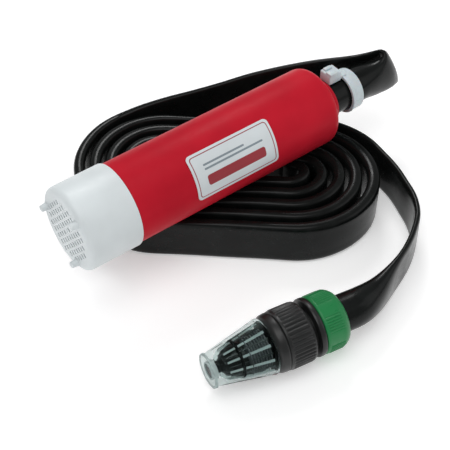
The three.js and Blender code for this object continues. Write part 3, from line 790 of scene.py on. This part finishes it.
def wrapped_panel(half_x, half_arc, corner, low, high, centre=(0, 0)):
    """A rounded panel that follows the shell, in rows along the arc."""
    rows = 40
    points, faces = [], []
    for i in range(rows + 1):
        along = half_arc * math.sin(math.pi * (i / rows - 0.5))
        over = max(0.0, abs(along) - (half_arc - corner))
        x = half_x - corner + math.sqrt(max(corner ** 2 - over ** 2, 0))
        for side, radius in ((-1, low), (-1, high), (1, high), (1, low)):
            points.append(wrap(centre[0] + side * x, centre[1] + along, radius))
    for i in range(rows):
        a, b = i * 4, (i + 1) * 4
        for k in range(4):
            n = (k + 1) % 4
            faces.append([a + k, a + n, b + n, b + k])
    faces.append([0, 1, 2, 3])
    faces.append([rows * 4 + k for k in (3, 2, 1, 0)])
    return points, faces


def label():
    half_arc = math.radians(LABEL_HALF_DEG) * LABEL_BORE
    plate = wrapped_panel(LABEL_HALF_X, half_arc, 2.6, LABEL_BORE, LABEL_BORE + 0.42)
    mesh = mesh_of("label", *to_frame(plate))
    finished("label", mesh, FINISHES["label"], "pump", ["label_plate"])
    low, high = LABEL_BORE + 0.4, LABEL_BORE + 0.46
    border = wrapped_strip(
        rounded_outline(LABEL_HALF_X - 1.5, half_arc - 1.5, 2.0),
        rounded_outline(LABEL_HALF_X - 2.0, half_arc - 2.0, 1.6), low, high,
    )
    band = wrapped_panel(20, 3.0, 1.5, low, high, (0, 3.5))
    bars = [
        wrapped_panel(half_length, 0.55, 0.5, low, high, (x, along))
        for half_length, x, along in ((20, 0, -3.2), (14, -6, -5.6))
    ]
    for name, part, material in (
        ("label_border", merged(border, band), PRINT), ("label_bars", merged(*bars), PRINT_GREY),
    ):
        finished(name, mesh_of(name, *to_frame(part)), material, "pump", [])


label()


# ---------------------------------------------------------------- hose clamp

def hose_clamp():
    start, end = 105.5, 114.0
    band = lathe(rounded([
        (start, 11.3), (start, 13.2), (start + 1.4, 13.3), (start + 1.8, 12.8), (end, 12.8), (end, 11.3),
    ], 0.5), 128)
    body = block((9.4, 9.0, 6.6), (98.8, 2.0, 15.6), 0.8)
    arm = block((8.0, 6.2, 2.4), (104.9, 1.8, 12.9), 0.6)
    pad = block((6.8, 4.6, 1.9), (97.7, -0.4, 19.3), 0.6)
    tooth = block((5.4, 2.6, 1.5), (98.2, 4.6, 19.2), 0.5)
    part = merged(band, body, arm, pad, tooth)
    part = moved(part, Matrix.Translation((0, 0, OUTLET_Z)))
    mesh = mesh_of("clamp", *to_frame(part))
    finished("clamp", mesh, FINISHES["clamp_nylon"], "pump", ["hose_clamp"])


hose_clamp()


# ---------------------------------------------------------------- nozzle

CONE_END = 34.7
CONE_FLUTES = 18
CONE_RIBS = 20
LIGHT_RIB, DARK_RIB, RIB_DEPTH = 0.06, 0.025, 0.3  # half widths in radians of the light ribs, painted highlights, and of the dark ribs, painted shade lines, and depth


def nozzle_cone():
    slope = (15.95 - 9.45) / (CONE_END - 2.6)
    outer = [(0, 9.3), (0.3, 9.8), (0.9, 10.0), (1.6, 9.95), (2.0, 9.6), (2.6, 9.45)]
    wall = CONE_END - 3
    outer += [(2.6 + wall * k / 10, 9.45 + slope * wall * k / 10) for k in range(1, 10)]
    outer += [(CONE_END - 0.6, 15.95), (CONE_END - 0.1, 15.8), (CONE_END, 15.4)]
    inner = [(CONE_END, 14.1), (17, 11.2), (8, 7.9), (5.6, 5.6), (5, 4.8), (5, 4.1)]
    tip = [(4.6, 4.0), (0.5, 4.0), (0, 4.5)]
    start = 9.4 - 2.6 * slope

    def ribs(x, radius, angle):
        if 5 < x < CONE_END - 2 and radius > start + slope * x - 0.3:
            return radius - 0.25 * (0.5 + 0.5 * math.cos(CONE_FLUTES * angle)) ** 3
        return radius

    mesh = mesh_of("cone", *on_fitting(lathe(outer + inner + tip, 240, ribs)))
    finished("cone", mesh, FINISHES["clear_plastic"], "cone", ["nozzle_cone"])


def cone_ribs():
    """The moulded ribs on the inside of the cone's wall, the rim of its tip and the tip's collar. The
    light ribs are painted highlights and the dark ribs between them are painted shade lines.
    """
    front, rear = (9.5, 8.1), (33.0, 13.2)
    ribs = []
    for k in range(CONE_RIBS):
        middle = 2 * math.pi * k / CONE_RIBS
        half = LIGHT_RIB if k % 2 else DARK_RIB
        points = []
        for x, radius in (front, rear):
            for angle, depth in ((-half, 0), (half, 0), (half, RIB_DEPTH), (-half, RIB_DEPTH)):
                r = radius + depth
                points.append(Vector((x, r * math.cos(middle + angle), r * math.sin(middle + angle))))
        faces = [[0, 1, 2, 3], [7, 6, 5, 4], [0, 4, 5, 1], [1, 5, 6, 2], [2, 6, 7, 3], [3, 7, 4, 0]]
        ribs.append((points, faces))
    # The light ribs carry a painted highlight and the dark ribs carry painted shade lines.
    light, dark = merged(*ribs[1::2]), merged(*ribs[0::2])
    rim = lathe(rounded([(0.3, 8.6), (0.3, 9.5), (1.5, 9.5), (1.5, 8.6)], 0.25), 96)
    collar = lathe(rounded([(0.6, 4.3), (0.6, 5.0), (4.2, 5.0), (4.2, 4.3)], 0.2), 64)
    for name, part, finish in (
        ("cone_ribs", merged(light, rim, collar), "frosted_and_painted_highlight"), ("cone_rib_shade_lines", dark, "painted_rib_shade"),
    ):
        mesh = mesh_of(name, *on_fitting(part))
        finished(name, mesh, FINISHES[finish], "cone", [])


def nozzle_stem():
    profile = [
        (0.9, 0), (0.9, 2.7), (1.2, 3.0), (6.5, 3.3), (7.8, 4.4), (8.5, 5.6), (12, 7.4), (15, 9.2),
        (15.9, 9.2), (16, 8.85), (18, 8.85), (18.1, 9.4), (20.5, 9.6), (20.5, 5.5), (33.8, 5.5),
        (34.6, 8.6), (35, 9.2), (35, 13.6), (35.2, 14.4), (36.8, 16.0), (37.6, 16.4), (40.4, 16.75),
        (41.1, 16.4), (41.1, 6.8), (48.8, 5.4), (57.8, 5.4), (57.8, 0),
    ]

    def ribs(x, radius, angle):
        if 10 < x < 15 and radius > 6:
            return radius - 0.5 * (0.5 + 0.5 * math.cos(12 * angle)) ** 3
        return radius

    mesh = mesh_of("stem", *on_fitting(lathe(profile, 144, ribs, closed=False)))
    finished("stem", mesh, FINISHES["black_plastic"], "nozzle", ["nozzle_stem"])


def thread_bush():
    profile = [(21, 5.8), (21, 10.4)]
    pitch = 1.55
    for i in range(8):
        x = 21.1 + i * pitch
        profile += [(x, 10.4), (x + 0.45, 11.25), (x + 0.75, 11.25), (x + 1.2, 10.4)]
    profile += [(33.5, 10.4), (33.5, 5.8)]
    mesh = mesh_of("bush", *on_fitting(lathe(profile, 96)))
    finished("bush", mesh, FINISHES["grey_plastic"], "nozzle", ["thread_bush"])


def cone_ring():
    profile = [(17 + 0.88 * math.cos(a), 9.9 + 0.88 * math.sin(a)) for a in
               (2 * math.pi * i / 20 for i in range(20))]
    mesh = mesh_of("ring", *on_fitting(lathe(profile, 96)))
    rubber_finish = FINISHES["seal_rubber"]
    finished("cone_ring_seal", mesh, rubber_finish, "cone_ring", ["cone_o_ring"])


nozzle_cone()
cone_ribs()
nozzle_stem()
thread_bush()
cone_ring()


# ---------------------------------------------------------------- hose connector

def lock_sleeve():
    start, end = 41.4, 57.4
    profile = [
        (start, 12.7), (start, 16.1), (start + 0.5, 16.7), (start + 1.4, 16.9), (start + 1.8, 16.9),
        (start + 2.4, 17.0), (end - 2.2, 17.0), (end - 1.6, 16.9), (end - 1.0, 16.9), (end - 0.4, 16.6),
        (end, 16.0), (end, 14.5), (start + 2, 14.5), (start + 2, 12.7),
    ]

    def ribs(x, radius, angle):
        if start + 2 < x < end - 2 and radius > 16.95:
            return radius - 0.75 * (0.5 + 0.5 * math.cos(44 * angle)) ** 1.3 + 0.18
        return radius

    mesh = mesh_of("sleeve", *on_fitting(lathe(profile, 384, ribs)))
    finished("sleeve_grip", mesh, FINISHES["black_plastic"], "sleeve", ["lock_sleeve"])


def connector_body():
    profile = [
        (42.4, 9.2), (42.4, 12), (47.8, 12.2), (60, 12.2), (60, 16), (60.3, 16.55), (60.8, 16.8),
        (62.7, 16.8), (63.2, 16.55), (63.5, 16), (63.5, 13.2), (69.8, 13.2), (69.8, 9.2), (81.8, 8.8),
        (81.8, 7.2), (58.8, 7.2), (58.8, 6), (55.3, 6), (55.3, 7.2), (52.3, 7.2), (52.3, 6), (48.8, 9.2),
    ]
    mesh = mesh_of("body", *on_fitting(lathe(profile, 128)))
    finished("socket", mesh, FINISHES["black_plastic"], "pump", ["connector_body"])


def clamp_nut():
    start, end = 63.8, 79.2
    profile = [
        (start, 13.6), (start, 16.0), (start + 0.3, 16.45), (start + 0.8, 16.7), (start + 1.6, 16.75),
        (start + 1.9, 16.85), (end - 5.2, 16.85), (end - 4.4, 16.7), (end - 3, 16.2), (end - 1.6, 15.3),
        (end - 0.6, 14.4), (end - 0.1, 13.5), (end, 12.9), (end, 11.7), (end - 2.5, 11.7),
        (end - 6.5, 13.6),
    ]
    patches = 6

    def ribs(x, radius, angle):
        if not (start + 1.8 < x < end - 5 and radius > 16.8):
            return radius
        share = (angle * patches / (2 * math.pi)) % 1
        if share > 0.5:
            return radius - 0.15
        return radius + 0.14 - 0.5 * (0.5 + 0.5 * math.cos(2 * math.pi * share * 2 * 6)) ** 1.4

    mesh = mesh_of("nut", *on_fitting(lathe(profile, 432, ribs)))
    finished("nut_grip", mesh, FINISHES["green_plastic"], "nut", ["clamp_nut"])


lock_sleeve()
connector_body()
clamp_nut()


# ---------------------------------------------------------------- studio

def studio():
    half, z = 3.0, FLOOR_Z * MM - 0.0002
    corners = [(-half, -half, z), (half, -half, z), (half, half, z), (-half, half, z)]
    floor = bpy.data.objects.new("floor", mesh_of("floor", corners, [[0, 1, 2, 3]]))
    floor.data.materials.append(floor_finish())
    bpy.context.scene.collection.objects.link(floor)
    for name, energy, size, spot in (
        ("key", 6.0, 0.9, (-0.35, -0.25, 1.15)),
        ("fill", 2.2, 1.0, (0.95, -0.75, 0.7)),
        ("back", 4.2, 0.36, (0.42, 0.72, 0.92)),
    ):
        data = bpy.data.lights.new(name, "AREA")
        data.energy, data.size = energy, size
        light = bpy.data.objects.new(name, data)
        light.location = spot
        light.rotation_euler = (-Vector(spot)).to_track_quat("-Z", "Y").to_euler()
        bpy.context.scene.collection.objects.link(light)
    world = bpy.data.worlds.new("studio")
    world.use_nodes = True
    background = world.node_tree.nodes["Background"]
    background.inputs["Color"].default_value = (1, 1, 1, 1)
    background.inputs["Strength"].default_value = 0.4
    bpy.context.scene.world = world
    bpy.context.scene.view_settings.view_transform = "Standard"


studio()
